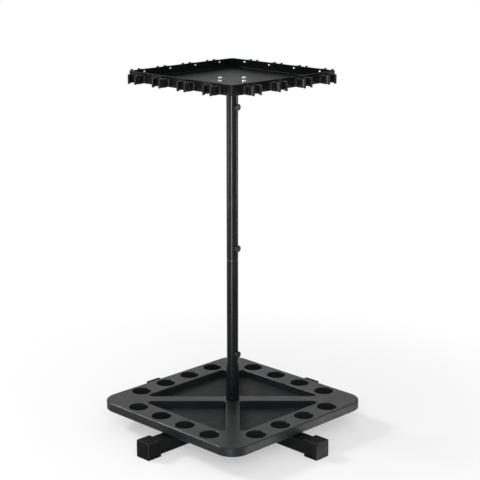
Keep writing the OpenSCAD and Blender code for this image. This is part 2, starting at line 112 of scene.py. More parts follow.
def wornEdges(tree, shader, place, base, gloss, rubbed, amount, patch):
    # rounded edges carry a wear value in the mesh; noise breaks it into rubbed patches
    edges = addNode(tree, "ShaderNodeAttribute", attribute_name="wear")
    chips = addNode(tree, "ShaderNodeTexNoise", {
        "Vector": place, "Scale": perMillimetres(patch), "Detail": 6.0, "Roughness": 0.7})
    # a patch begins a little below the middle of the noise's range and is full near its top
    spots = addNode(tree, "ShaderNodeMapRange", {
        "Value": chips.outputs["Fac"], "From Min": 0.42, "From Max": 0.62, "To Max": amount})
    share = addNode(tree, "ShaderNodeMath", {
        0: edges.outputs["Fac"], 1: spots.outputs["Result"]}, operation="MULTIPLY")
    blend = addNode(tree, "ShaderNodeMix", {
        0: share.outputs[0], 6: base, 7: linearRgb(rubbed)}, data_type="RGBA")
    tree.links.new(blend.outputs[2], shader.inputs["Base Color"])
    smoothing = -0.12  # rubbing polishes the edge a little
    polish = addNode(tree, "ShaderNodeMath", {
        0: share.outputs[0], 1: smoothing, 2: gloss}, operation="MULTIPLY_ADD")
    tree.links.new(polish.outputs[0], shader.inputs["Roughness"])


def lacqueredFibreboard():
    # Black spray lacquer on fibreboard: a soft sheen with a faint orange peel, thin on the edges
    material, tree, shader, place = startMaterial("lacqueredFibreboard", IOR=1.5,
                                                  Specular_IOR_Level=0.15)
    base = unevenColour(tree, shader, place, dark="#111213", light="#18191a", grain=90)
    gloss = unevenGloss(tree, shader, place, smooth=0.3, rough=0.42, grain=45)
    # real orange peel is about 1 mm
    grainBump(tree, shader, place, grain=2.6, depth=0.00006, strength=0.4)
    wornEdges(tree, shader, place, base, gloss, rubbed="#4a4745", amount=0.6, patch=9)
    return material


def mattHardboard():
    # Black hardboard: dull, with a felted surface and hardly any sheen
    material, tree, shader, place = startMaterial("mattHardboard", IOR=1.45, Specular_IOR_Level=0.2)
    unevenColour(tree, shader, place, dark="#101112", light="#1a1b1c", grain=25)
    unevenGloss(tree, shader, place, smooth=0.6, rough=0.8, grain=30)
    grainBump(tree, shader, place, grain=1.8, depth=0.00012, strength=0.6)
    return material


def mattPowderCoat():
    # Matt black powder coat on the legs: fine dry texture, almost no sheen
    material, tree, shader, place = startMaterial("mattPowderCoat", IOR=1.5,
                                                  Specular_IOR_Level=0.06)
    unevenColour(tree, shader, place, dark="#0c0d0d", light="#121313", grain=35)
    unevenGloss(tree, shader, place, smooth=0.45, rough=0.58, grain=20)
    grainBump(tree, shader, place, grain=1.8, depth=0.00008, strength=0.4)
    return material


def powderCoatedSteel():
    # Satin black powder coat: an even sheen over a fine leathery grain
    material, tree, shader, place = startMaterial("powderCoatedSteel", IOR=1.5,
                                                  Specular_IOR_Level=0.07)
    unevenColour(tree, shader, place, dark="#08090a", light="#0e0f10", grain=40)
    unevenGloss(tree, shader, place, smooth=0.22, rough=0.3, grain=20)
    # the real grain is near 0.7 mm
    grainBump(tree, shader, place, grain=2.0, depth=0.00005, strength=0.2)
    return material


def mouldedAbs():
    # Moulded ABS off a finely textured tool: deep black with a soft satin floor
    material, tree, shader, place = startMaterial("mouldedAbs", IOR=1.53, Specular_IOR_Level=0.025)
    base = unevenColour(tree, shader, place, dark="#060707", light="#0b0c0c", grain=70)
    gloss = unevenGloss(tree, shader, place, smooth=0.3, rough=0.4, grain=30)
    grainBump(tree, shader, place, grain=1.5, depth=0.00005, strength=0.25)
    wornEdges(tree, shader, place, base, gloss, rubbed="#2f3031", amount=0.2, patch=7)
    return material


def mouldedNylon():
    # Moulded nylon: smoother than the tray, with a crisp line of light, a little rubbed at the lips
    material, tree, shader, place = startMaterial("mouldedNylon", IOR=1.53, Specular_IOR_Level=0.04)
    base = unevenColour(tree, shader, place, dark="#050506", light="#09090a", grain=14)
    gloss = unevenGloss(tree, shader, place, smooth=0.2, rough=0.3, grain=8)
    grainBump(tree, shader, place, grain=1.2, depth=0.00003, strength=0.12)
    wornEdges(tree, shader, place, base, gloss, rubbed="#2c2d2e", amount=0.2, patch=4)
    return material


def mouldedPolypropylene():
    # Polypropylene foot caps: waxy and dull, scuffed grey along the edges
    material, tree, shader, place = startMaterial("mouldedPolypropylene", IOR=1.49,
                                                  Specular_IOR_Level=0.05)
    base = unevenColour(tree, shader, place, dark="#0a0a0b", light="#111112", grain=18)
    gloss = unevenGloss(tree, shader, place, smooth=0.5, rough=0.66, grain=10)
    grainBump(tree, shader, place, grain=1.4, depth=0.00008, strength=0.5)
    wornEdges(tree, shader, place, base, gloss, rubbed="#47484a", amount=0.7, patch=5)
    return material


def mouldedAcetal():
    # Acetal knobs and joint ring: hard and semi-gloss
    material, tree, shader, place = startMaterial("mouldedAcetal", IOR=1.48,
                                                  Specular_IOR_Level=0.16)
    base = unevenColour(tree, shader, place, dark="#0d0d0e", light="#141516", grain=9)
    gloss = unevenGloss(tree, shader, place, smooth=0.24, rough=0.34, grain=5)
    grainBump(tree, shader, place, grain=0.8, depth=0.00002, strength=0.15)
    wornEdges(tree, shader, place, base, gloss, rubbed="#3a3b3d", amount=0.3, patch=3)
    return material


def naturalAcetal():
    # Uncoloured acetal cage: milky ivory that lets a little light in
    material, tree, shader, place = startMaterial("naturalAcetal", IOR=1.48, Subsurface_Weight=0.15,
                                                  Subsurface_Scale=0.002)
    unevenColour(tree, shader, place, dark="#d3ccb6", light="#e0dac6", grain=8)
    unevenGloss(tree, shader, place, smooth=0.35, rough=0.45, grain=6)
    grainBump(tree, shader, place, grain=0.8, depth=0.00003, strength=0.3)
    return material


def zincPlatedSteel():
    # Bright zinc plate on screws and nuts: bluish silver, faintly cloudy
    material, tree, shader, place = startMaterial("zincPlatedSteel", Metallic=1.0)
    unevenColour(tree, shader, place, dark="#a9adb3", light="#c9ccd0", grain=4)
    unevenGloss(tree, shader, place, smooth=0.2, rough=0.34, grain=3)
    grainBump(tree, shader, place, grain=0.6, depth=0.00002, strength=0.3)
    return material


def galvanisedSheet():
    # Pressed sheet with a zinc coat: dull silver with pale crystal patches
    material, tree, shader, place = startMaterial("galvanisedSheet", Metallic=1.0)
    crystals = addNode(tree, "ShaderNodeTexVoronoi", {
        "Vector": place, "Scale": perMillimetres(7)}, feature="F1")
    shade = addNode(tree, "ShaderNodeSeparateColor", {"Color": crystals.outputs["Color"]})
    ramp = addNode(tree, "ShaderNodeValToRGB", {"Fac": shade.outputs["Red"]})
    ramp.color_ramp.elements[0].color = linearRgb("#a5a9ae")
    ramp.color_ramp.elements[1].color = linearRgb("#c4c7cb")
    tree.links.new(ramp.outputs["Color"], shader.inputs["Base Color"])
    spread = addNode(tree, "ShaderNodeMapRange", {
        "Value": shade.outputs["Green"], "To Min": 0.34, "To Max": 0.5})
    tree.links.new(spread.outputs["Result"], shader.inputs["Roughness"])
    grainBump(tree, shader, place, grain=1.5, depth=0.00003, strength=0.3)
    return material


def polishedBallSteel():
    # Hardened bearing steel, ground and polished
    material, tree, shader, place = startMaterial("polishedBallSteel", Metallic=1.0)
    unevenColour(tree, shader, place, dark="#c9cbce", light="#d6d8da", grain=2)
    unevenGloss(tree, shader, place, smooth=0.08, rough=0.14, grain=2)
    return material


# every finish, with the CAD nodes that wear it as they are; the pieces made below name theirs
finishes = {
    lacqueredFibreboard: [],
    mattHardboard: ["base_bottom_panel"],
    mattPowderCoat: ["leg_x", "leg_y"],
    powderCoatedSteel: ["lower_tube", "upper_tube"],
    mouldedAbs: [],
    mouldedNylon: [],
    mouldedPolypropylene: [],
    mouldedAcetal: [],
    naturalAcetal: ["turntable_ball_cage"],
    zincPlatedSteel: ["leg_nuts", "post_washer", "lock_stud_low", "lock_stud_mid", "lock_stud_top"],
    galvanisedSheet: ["turntable_lower_plate", "turntable_upper_plate", "turntable_eyelet"],
    polishedBallSteel: ["turntable_balls"],
}
made = {}
for finish, names in finishes.items():
    made[finish.__name__] = finish()
    for name in names:
        nodes[name].data.materials.clear()
        nodes[name].data.materials.append(made[finish.__name__])
finished = sum(len(names) for names in finishes.values())
print("finished", finished, "nodes in", len(finishes), "materials")


def meshFrom(name, points, faces):
    # pieces are drawn in millimetres, and become metres here
    mesh = bpy.data.meshes.new(name)
    mesh.from_pydata([(x / 1000, y / 1000, z / 1000) for x, y, z in points], [], faces)
    return mesh


def softCorners(corners, closed=True, steps=5):
    # each corner is (x, y, radius); a radius of 0 keeps it sharp
    path = []
    for i, (x, y, radius) in enumerate(corners):
        if radius == 0 or (not closed and i in (0, len(corners) - 1)):
            path.append((x, y))
            continue
        here = Vector((x, y))
        back = (Vector(corners[i - 1][:2]) - here).normalized()
        on = (Vector(corners[(i + 1) % len(corners)][:2]) - here).normalized()
        halfAngle = back.angle(on) / 2
        middle = here + (back + on).normalized() * radius / sin(halfAngle)
        first = here + back * radius / tan(halfAngle) - middle
        last = here + on * radius / tan(halfAngle) - middle
        sweep = first.angle_signed(last)
        for k in range(steps + 1):
            path.append(tuple(middle + Matrix.Rotation(-sweep * k / steps, 2) @ first))
    return path


def stackRings(name, rings, closed=False, filled=True):
    count = len(rings[0])
    faces = []
    for i in range(len(rings) if closed else len(rings) - 1):
        j = (i + 1) % len(rings)
        for k in range(count):
            n = (k + 1) % count
            faces.append((i * count + k, i * count + n, j * count + n, j * count + k))
    if filled and not closed:
        faces.append(tuple(range(count)))
        faces.append(tuple((len(rings) - 1) * count + k for k in range(count)))
    return meshFrom(name, [point for ring in rings for point in ring], faces)


def turned(name, corners, closed=True, segments=96):
    # corners of the section are (radius from the axis, height, corner radius)
    angles = [2 * pi * k / segments for k in range(segments)]
    rings = [[(r * cos(a), r * sin(a), z) for a in angles]
             for r, z in softCorners(corners, closed)]
    return stackRings(name, rings, closed, filled=False)


def squareRing(half, radius, height, steps=8):
    ring = []
    for quarter in range(4):
        for k in range(steps + 1):
            angle = (quarter + k / steps) * pi / 2
            middle = (quarter + 0.5) * pi / 2
            ring.append(((half - radius) * sqrt(2) * cos(middle) + radius * cos(angle),
                         (half - radius) * sqrt(2) * sin(middle) + radius * sin(angle), height))
    return ring


def squareTurned(name, corners, outerHalf, outerRadius, leastRadius=0.6):
    # like turned, but round a square whose corner radius shrinks with its half width
    rings = [squareRing(half, max(leastRadius, outerRadius - outerHalf + half), z)
             for half, z in softCorners(corners, closed=False)]
    return stackRings(name, rings)


def evaluatedMesh(holder):
    seen = holder.evaluated_get(bpy.context.evaluated_depsgraph_get())
    return bpy.data.meshes.new_from_object(seen)


def cutPlate(name, outline, low, high, soft):
    # a sheet whose edges are all rounded over, from a filled flat curve
    sheet = bpy.data.curves.new(name, "CURVE")
    sheet.dimensions = "2D"
    sheet.fill_mode = "BOTH"
    sheet.extrude = ((high - low) / 2 - soft) / 1000
    sheet.bevel_depth = soft / 1000
    sheet.bevel_resolution = 3
    sheet.offset = -soft / 1000
    spline = sheet.splines.new("POLY")
    spline.points.add(len(outline) - 1)
    for point, (x, y) in zip(spline.points, outline):
        point.co = (x / 1000, y / 1000, 0, 1)
    spline.use_cyclic_u = True
    holder = bpy.data.objects.new(name, sheet)
    scene.collection.objects.link(holder)
    mesh = evaluatedMesh(holder)
    bpy.data.objects.remove(holder)
    bpy.data.curves.remove(sheet)
    mesh.name = name
    mesh.transform(shifted(0, 0, (low + high) / 2))
    return mesh


def arc(cx, cy, radius, start, end, steps):
    angles = [radians(start + (end - start) * k / steps) for k in range(steps + 1)]
    return [(cx + radius * cos(a), cy + radius * sin(a)) for a in angles]


def routedPlate(name, loops, low, high, recess, roof, soft=0.35, strip=1.2):
    # loops are (arcs, radius, bevel, side): the first is the plate's outline, the others are
    # holes in it, and an arc is (x, y, start, end, steps); a bevel moves the arcs' radius to
    # that side, and a flat strip beside it keeps the shading clean.
    # recess is one more loop, open below and as high as the roof, where the holes end
    points, faces, tops, bottoms = [], [], [], []
    for arcs, radius, bevel, side in loops + [recess]:
        section = [(bevel + strip, high, 0), (bevel, high, soft), (0, high - bevel, soft)]
        if not tops:  # the plate's outline
            section += [(0, low + bevel, soft), (bevel, low, soft), (bevel + strip, low, 0)]
        elif len(tops) < len(loops):
            section += [(0, roof, 0)]
        else:
            section = [(0, roof, 0), (0, low, 0)]
        section = softCorners(section, closed=False, steps=3)
        rings = []
        for inset, height in section:
            ring = []
            for x, y, start, end, steps in arcs:
                bent = arc(x, y, radius + side * inset, start, end, steps)
                ring += [(px, py, height) for px, py in bent]
            rings.append(ring)
        first, count = len(points), len(rings[0])
        for ring in rings:
            points += ring
        for i in range(len(rings) - 1):
            for k in range(count):
                n = (k + 1) % count
                faces.append(tuple(first + i * count + j for j in (k, n, n + count, k + count)))
        tops.append(list(range(first, first + count)))
        bottoms.append([index + (len(rings) - 1) * count for index in tops[-1]])
    for level in (tops[:-1], [bottoms[0], bottoms[-1]], [tops[-1]] + bottoms[1:-1]):
        flat = [index for loop in level for index in loop]
        outlines = [[Vector(points[index]) for index in loop] for loop in level]
        for triangle in tessellate_polygon(outlines):
            faces.append(tuple(flat[corner] for corner in triangle))
    return meshFrom(name, points, faces)


def merged(name, meshes):
    grid = bmesh.new()
    for mesh in meshes:
        grid.from_mesh(mesh)
    joined = bpy.data.meshes.new(name)
    grid.to_mesh(joined)
    grid.free()
    return joined


def placed(mesh, *moves):
    copy = mesh.copy()
    for move in moves:
        copy.transform(move)
    return copy


def shifted(x, y, z):
    return Matrix.Translation((x / 1000, y / 1000, z / 1000))


def spun(degrees, axis):
    return Matrix.Rotation(radians(degrees), 4, axis)


def carved(mesh, cutter):
    body = bpy.data.objects.new("carvedBody", mesh)
    tool = bpy.data.objects.new("carvingTool", cutter)
    for holder in (body, tool):
        scene.collection.objects.link(holder)
    cut = body.modifiers.new("recess", "BOOLEAN")
    cut.object = tool
    cut.solver = "EXACT"
    result = evaluatedMesh(body)
    bpy.data.objects.remove(body)
    bpy.data.objects.remove(tool)
    return result


def cleaned(mesh):
    # weld what meets, drop what has no size and turn every face outwards
    grid = bmesh.new()
    grid.from_mesh(mesh)
    bmesh.ops.remove_doubles(grid, verts=grid.verts, dist=1e-6)
    bmesh.ops.dissolve_degenerate(grid, edges=grid.edges, dist=1e-7)
    bmesh.ops.recalc_face_normals(grid, faces=grid.faces)
    return grid


# wear begins where an edge bends this far, in degrees, and is full after the rise
edgeWear = {"starts": 13, "rise": 5, "sharp": 35}


def addPiece(name, mesh, finish, body, slot, *replaced, sharp=40):
    grid = cleaned(mesh)
    wear = grid.verts.layers.float.new("wear")
    for corner in grid.verts:
        bend = max((edge.calc_face_angle_signed(0) for edge in corner.link_edges), default=0)
        # flats beside a rounding stay clean, and so does an edge left sharp
        rubbed = (bend - radians(edgeWear["starts"])) / radians(edgeWear["rise"])
        corner[wear] = min(1, max(0, rubbed)) if bend < radians(edgeWear["sharp"]) else 0
    grid.to_mesh(mesh)
    grid.free()
    mesh.name = name
    mesh.shade_smooth()
    mesh.set_sharp_from_angle(angle=radians(sharp))
    mesh.materials.clear()
    mesh.materials.append(made[finish])
    piece = bpy.data.objects.new(name, mesh)
    scene.collection.objects.link(piece)
    shading = piece.modifiers.new("evenShading", "WEIGHTED_NORMAL")
    shading.keep_sharp = True
    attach(piece, body)
    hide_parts(*replaced)


sides = ["front_left", "front_right", "back_right", "back_left"]
row = {"count": 4, "pitch": 70.5}  # of the holes and the clips along each side
rodPlaces = [(k - (row["count"] - 1) / 2) * row["pitch"] for k in range(row["count"])]

board = {
    "half": 200, "low": 40, "high": 59, "cornerRadius": 40, "cornerSteps": 24, "edgeBevel": 1.5,
    # the closing panel lies in a recess below
    "rim": 5.7, "roof": 43,
    "holeRadius": 20, "holeLine": 171, "holeSteps": 64, "rimBevel": 1,
    # where the corner arcs of one pocket are centred, and their radius and steps
    "pocketTip": (0, -31.11), "pocketBase": (103.9, -135), "pocketRadius": 8,
    "tipSteps": 10, "baseSteps": 12,
}


def makeBoard():
    middle, count = board["half"] - board["cornerRadius"], board["cornerSteps"]
    corners = [(-middle, -middle, 180, 270, count), (middle, -middle, 270, 360, count),
               (middle, middle, 0, 90, count), (-middle, middle, 90, 180, count)]
    loops = [(corners, board["cornerRadius"], board["edgeBevel"], -1)]
    recess = (corners, board["cornerRadius"] - board["rim"], 0, 1)
    tip, base = board["pocketTip"], board["pocketBase"]
    pocket = [(base[0], base[1], -90, 45, board["baseSteps"]),
              (tip[0], tip[1], 45, 135, board["tipSteps"]),
              (-base[0], base[1], 135, 270, board["baseSteps"])]
    holeSteps = board["holeSteps"]
    holeEnd = 360 * (holeSteps - 1) / holeSteps
    for quarter in range(4):
        turn = 90 * quarter
        around = Matrix.Rotation(quarter * pi / 2, 2)
        for x in rodPlaces:
            spot = around @ Vector((x, -board["holeLine"]))
            hole = [(spot.x, spot.y, 0, holeEnd, holeSteps - 1)]
            loops.append((hole, board["holeRadius"], board["rimBevel"], 1))
        arcs = []
        for x, y, start, end, steps in pocket:
            spot = around @ Vector((x, y))
            arcs.append((spot.x, spot.y, start + turn, end + turn, steps))
        loops.append((arcs, board["pocketRadius"], board["rimBevel"], 1))
    mesh = routedPlate("board", loops, board["low"], board["high"], recess, board["roof"])
    addPiece("board", mesh, "lacqueredFibreboard", "rotor", "board_black", "base_board",
             sharp=50)


footCap = {
    "halfWidth": 18, "edgeRadius": 1, "start": 220.5, "end": 254.5, "endWall": 4.5,
    "innerHalf": 15.1, "innerRadius": 2.6,
    "lipRounding": 0.6, "rimRounding": 0.8, "endRounding": 1,
    "edgeBand": 1.2,  # how far in from the sides the edge radius holds
    "endFlat": 6,  # the flat edge of the end face
}


def makeFootCaps():
    outer, inner = footCap["halfWidth"], footCap["innerHalf"]
    start, end = footCap["start"], footCap["end"]
    profile = [(inner, end - footCap["endWall"], 0), (inner, start, footCap["lipRounding"]),
               (outer, start, footCap["rimRounding"]), (outer, end, footCap["endRounding"]),
               (outer - footCap["endFlat"], end, 0)]
    rings = []
    for half, along in softCorners(profile, closed=False, steps=4):
        inside = half < outer - footCap["edgeBand"]
        radius = footCap["innerRadius"] if inside else footCap["edgeRadius"]
        ring = squareRing(half, radius, 0, steps=5)
        rings.append([(along, y, z + outer) for y, z, _ in ring])
    shell = stackRings("footCap", rings)
    for angle, side in zip((270, 0, 90, 180), sides):
        addPiece("cap_" + side, placed(shell, spun(angle, "Z")), "mouldedPolypropylene", "stand",
                 "cap_plastic", "foot_cap_" + side)


# the spigots of the socket, the joiner and the hub, which the tubes slip over
spigot = {"radius": 10.45, "length": 45, "bore": 5, "tipRounding": 0.6, "boreRounding": 0.3}


def spigotEnd(height):
    return [(spigot["radius"], height, spigot["tipRounding"]),
            (spigot["bore"], height, spigot["boreRounding"])]


socket = {
    "top": 137, "footRadius": 14.5, "neckRadius": 13.6, "topRadius": 13.3,
    "flareHeight": 9, "flareRounding": 8,  # where the foot narrows to the neck
    "footRounding": 0.5, "topRounding": 0.9, "boltBore": 4.05, "boltDepth": 30,
}


def makeSocket():
    low, top, bolt = board["high"], socket["top"], socket["boltBore"]
    seat = low + socket["boltDepth"]
    outside = [(bolt, low, 0), (socket["footRadius"], low, socket["footRounding"]),
               (socket["neckRadius"], low + socket["flareHeight"], socket["flareRounding"]),
               (socket["topRadius"], top, socket["topRounding"]), (spigot["radius"], top, 0)]
    inside = [(spigot["bore"], seat, 0), (bolt, seat, 0)]
    mesh = turned("socket", outside + spigotEnd(top + spigot["length"]) + inside)
    addPiece("socket", mesh, "powderCoatedSteel", "rotor", "socket_black", "post_socket")


joiner = {"ringLow": 361, "ringHigh": 366, "ringRadius": 11.8, "ringRounding": 0.7}


def makeJoiner():
    low, high, rounding = joiner["ringLow"], joiner["ringHigh"], joiner["ringRounding"]
    ring = [(spigot["radius"], low, 0), (joiner["ringRadius"], low, rounding),
            (joiner["ringRadius"], high, rounding), (spigot["radius"], high, 0)]
    foot, tip = spigotEnd(low - spigot["length"]), spigotEnd(high + spigot["length"])
    mesh = turned("joiner", foot[::-1] + ring + tip)
    addPiece("joiner", mesh, "mouldedAcetal", "rotor", "joiner_plastic", "tube_joiner")


hub = {
    "low": 706, "collarRadius": 13.5, "collarRounding": 0.8, "fillet": 4,
    "flangeRadius": 45, "flangeThickness": 4, "flangeRounding": 1.2, "seatRounding": 0.2,
}


def makeHub():
    low, high = hub["low"], tray["low"]
    under = high - hub["flangeThickness"]
    foot = spigotEnd(low - spigot["length"])
    outside = [(spigot["radius"], low, 0), (hub["collarRadius"], low, hub["collarRounding"]),
               (hub["collarRadius"], under, hub["fillet"]),
               (hub["flangeRadius"], under, hub["flangeRounding"]),
               (hub["flangeRadius"], high, hub["seatRounding"]), (spigot["bore"], high, 0)]
    mesh = turned("hub", foot[::-1] + outside)
    addPiece("hub", mesh, "powderCoatedSteel", "rotor", "socket_black", "tray_hub")


knob = {
    "radius": 7, "thickness": 6, "start": 12.3, "heights": {"low": 161, "mid": 390, "top": 682},
    "backRounding": 0.8, "rimRounding": 1.3,
    "flutes": 10, "fluteDepth": 0.55, "fluteSteps": 14,
    # the flutes begin this far outside the dish and are at their full depth further out
    "fluteStart": 1, "fluteRise": 1.6,
    "dishRadius": 3.85, "dishDepth": 0.8, "dishSlope": 0.4, "dishRounding": 0.5,
    "dishMiddle": 0.4,  # radius of the dish's last ring, which one face fills
    "studRadius": 3, "studDepth": 3, "studRounding": 0.2,
}


def makeKnobs():
    stud, dish, high = knob["studRadius"], knob["dishRadius"], knob["thickness"]
    floor, middle = high - knob["dishDepth"], knob["dishMiddle"]
    section = softCorners([
        (stud, knob["studDepth"], 0), (stud, 0, knob["studRounding"]),
        (knob["radius"], 0, knob["backRounding"]), (knob["radius"], high, knob["rimRounding"]),
        (dish + knob["dishSlope"], high, knob["dishRounding"]),
        (dish, floor, knob["dishRounding"]), (middle, floor, 0)], closed=False, steps=6)
    count = knob["flutes"] * knob["fluteSteps"]
    rings = []
    for radius, along in section:
        share = min(1, max(0, (radius - dish - knob["fluteStart"]) / knob["fluteRise"]))
        ring = []
        for k in range(count):
            angle = 2 * pi * k / count
            groove = max(0, cos(angle * knob["flutes"])) ** 2 * knob["fluteDepth"] * share
            reach = radius - groove
            ring.append((knob["start"] + along, reach * cos(angle), reach * sin(angle)))
        rings.append(ring)
    head = stackRings("knob", rings)
    for place, height in knob["heights"].items():
        addPiece("knob_" + place, placed(head, shifted(0, 0, height)), "mouldedAcetal",
                 "knob_" + place, "knob_plastic", "lock_knob_" + place)


tray = {
    "half": 147, "low": 733, "high": 754, "wall": 3, "floor": 3, "cornerRadius": 8,
    "footRounding": 0.9, "rimRounding": 1.1, "floorRounding": 2.2,
    "flatEdge": 20,  # the outer part of the floor, which meets one face in the middle
}


def makeTray():
    half, low, high = tray["half"], tray["low"], tray["high"]
    inner, deck, flat = half - tray["wall"], low + tray["floor"], tray["flatEdge"]
    section = [(half - flat, low, 0), (half, low, tray["footRounding"]),
               (half, high, tray["rimRounding"]), (inner, high, tray["rimRounding"]),
               (inner, deck, tray["floorRounding"]), (inner - flat, deck, 0)]
    mesh = squareTurned("tray", section, half, tray["cornerRadius"])
    addPiece("tray", mesh, "mouldedAbs", "rotor", "tray_plastic", "tray")


clip = {
    "middle": 15, "outerRadius": 14.5, "innerRadius": 11, "lipRadius": 2.5, "mouthHalf": 7,
    "padDepth": 4.5, "padEdge": 1, "padRounding": 0.9,
    "fillet": 2,  # joins the ring and its pad
    "lipTop": 752, "lipRounding": 1.1, "screwDrop": 4,
    "step": 1,  # the ring ends this far short of its lips, above and below
    "softEdge": 0.7,
    "outerSteps": 24, "innerSteps": 40, "filletSteps": 6, "lipSegments": 32,
}


def makeClips():
    outer, inner, pad = clip["outerRadius"], clip["innerRadius"], clip["padDepth"]
    lipLine = inner + clip["lipRadius"]
    lipX = clip["mouthHalf"] + clip["lipRadius"]
    lipY = sqrt(lipLine ** 2 - lipX ** 2)
    gap = atan2(lipX, lipY) * 180 / pi
    fillet = clip["fillet"]
    drop = clip["middle"] - pad  # from the ring's middle up to the pad's underside
    reachY = drop - fillet
    reachX = sqrt((outer + fillet) ** 2 - reachY ** 2)
    meet = atan2(reachY, reachX) * 180 / pi
    padSide = reachX + clip["padEdge"]
    right = arc(0, 0, outer, -90 + gap, meet, clip["outerSteps"])
    right += arc(reachX, reachY, fillet, 180 + meet, 90, clip["filletSteps"])
    padCorners = [(reachX, drop, 0), (padSide, drop, clip["padRounding"]),
                  (padSide, clip["middle"], 0)]
    right += softCorners(padCorners, closed=False, steps=4)[1:]
    left = [(-x, y) for x, y in reversed(right)]
    outline = right + left + arc(0, 0, inner, 270 - gap, -90 + gap, clip["innerSteps"])
    outline = [(x, y - clip["middle"]) for x, y in outline]
    low, high = tray["low"], clip["lipTop"]
    ring = cutPlate("clip", outline, low + clip["step"], high - clip["step"], clip["softEdge"])
    radius, rounding = clip["lipRadius"], clip["lipRounding"]
    lip = turned("lip", [(0, low, 0), (radius, low, rounding), (radius, high, rounding),
                         (0, high, 0)], closed=False, segments=clip["lipSegments"])
    lips = [placed(lip, shifted(sign * lipX, -clip["middle"] - lipY, 0)) for sign in (-1, 1)]
    whole = merged("clip", [ring] + lips)
    for quarter, side in enumerate(sides):
        for k, x in enumerate(rodPlaces):
            mesh = placed(whole, shifted(x, -tray["half"], 0), spun(90 * quarter, "Z"))
            name = "clip_%s_%d" % (side, k + 1)
            addPiece("rod" + name.title().replace("_", ""), mesh, "mouldedNylon", "rotor",
                     "clip_plastic", name)


screws = {
    # thread, head's width and height, length under the head, the drive, how many degrees the head
    # is tipped from upright, and the spots that it sits on, repeated on that many sides
    "clip_screws": {
        "thread": 3, "head": (6, 2), "length": 6, "drive": "cross", "tip": -90, "sides": 4,
        "spots": [(x, tray["wall"] - tray["half"], clip["lipTop"] - clip["screwDrop"])
                  for x in rodPlaces]},
    "hub_screws": {
        "thread": 5, "head": (9, 2.6), "length": 9, "drive": "cross", "tip": 0, "sides": 4,
        "spots": [(34, 0, tray["low"] + tray["floor"])]},
    "panel_screws": {
        "thread": 3.5, "head": (7, 2), "length": 13, "drive": "cross", "tip": 180, "sides": 4,
        "spots": [(x, y, board["low"]) for x, y in ((167, 167), (102, 102), (171, 0))]},
    "turntable_screws": {
        "thread": 4, "head": (8, 1.6), "length": 16.6, "drive": "cross", "tip": 180, "sides": 4,
        "spots": [(62, 62, 38.4)]},
    "leg_bolts": {
        "thread": 5, "head": (9, 1.6), "length": 14, "drive": "hex", "tip": 0, "sides": 4,
        "spots": [(67, 0, 34.6)]},
    "post_bolt": {
        "thread": 8, "head": (13, 3.4), "length": 50.5, "drive": "hex", "tip": 180, "sides": 1,
        "spots": [(0, 0, 38.5)]},
}
screwShape = {
    # shares of the head's radius and height
    "dome": [(0, 1), (0.45, 0.97), (0.78, 0.74), (0.96, 0.36), (1, 0.12), (1, 0)],
    "driveDepth": 0.62,
    # shares of the head's radius: a hex socket's corners, and how far a cross reaches and half
    # its thickness, at its foot and at its top
    "hexCorner": 0.52, "crossFoot": (0.26, 0.08), "crossTop": (0.66, 0.15),
    "hexAbove": 1, "crossAbove": 0.5,  # millimetres that the cutting tools stand above the head
    "point": 0.5,  # share of the thread's radius
    "segments": 40,
}


def makeScrew(size):
    radius, height = size["head"][0] / 2, size["head"][1]
    shank, length = size["thread"] / 2, size["length"]
    point = shank * screwShape["point"]
    section = [(radius * out, height * up, 0) for out, up in screwShape["dome"]]
    section += [(shank, 0, 0), (shank, -length + point, 0), (point, -length, 0), (0, -length, 0)]
    blank = turned("screw", section, closed=False, segments=screwShape["segments"])
    grid = cleaned(blank)
    grid.to_mesh(blank)
    grid.free()
    foot = height - height * screwShape["driveDepth"]
    if size["drive"] == "hex":
        reach = radius * screwShape["hexCorner"]
        rings = [[(reach * cos(k * pi / 3), reach * sin(k * pi / 3), z) for k in range(6)]
                 for z in (foot, height + screwShape["hexAbove"])]
        return carved(blank, stackRings("hexTool", rings))
    rings = []
    top = height + screwShape["crossAbove"]
    for z, (reach, thick) in ((foot, screwShape["crossFoot"]), (top, screwShape["crossTop"])):
        x, y = radius * reach, radius * thick
        rings.append([(x, y, z), (-x, y, z), (-x, -y, z), (x, -y, z)])
    bar = stackRings("crossTool", rings)
    for turn in (0, 90):
        blank = carved(blank, placed(bar, spun(turn, "Z")))
    return blank


def makeScrews():
    for name, size in screws.items():
        blank = makeScrew(size)
        copies = [placed(blank, spun(size["tip"], "X"), shifted(*spot), spun(90 * quarter, "Z"))
                  for quarter in range(size["sides"]) for spot in size["spots"]]
        body = "stand" if name == "leg_bolts" else "rotor"
        addPiece(name + "_driven", merged(name, copies), "zincPlatedSteel", body, "zinc_steel",
                 name, sharp=32)


makeBoard()
print("board made")
makeFootCaps()
makeSocket()
makeJoiner()
makeHub()
makeKnobs()
print("post, knobs and foot caps made")
makeTray()
makeClips()
makeScrews()
print("tray, clips and screws made")

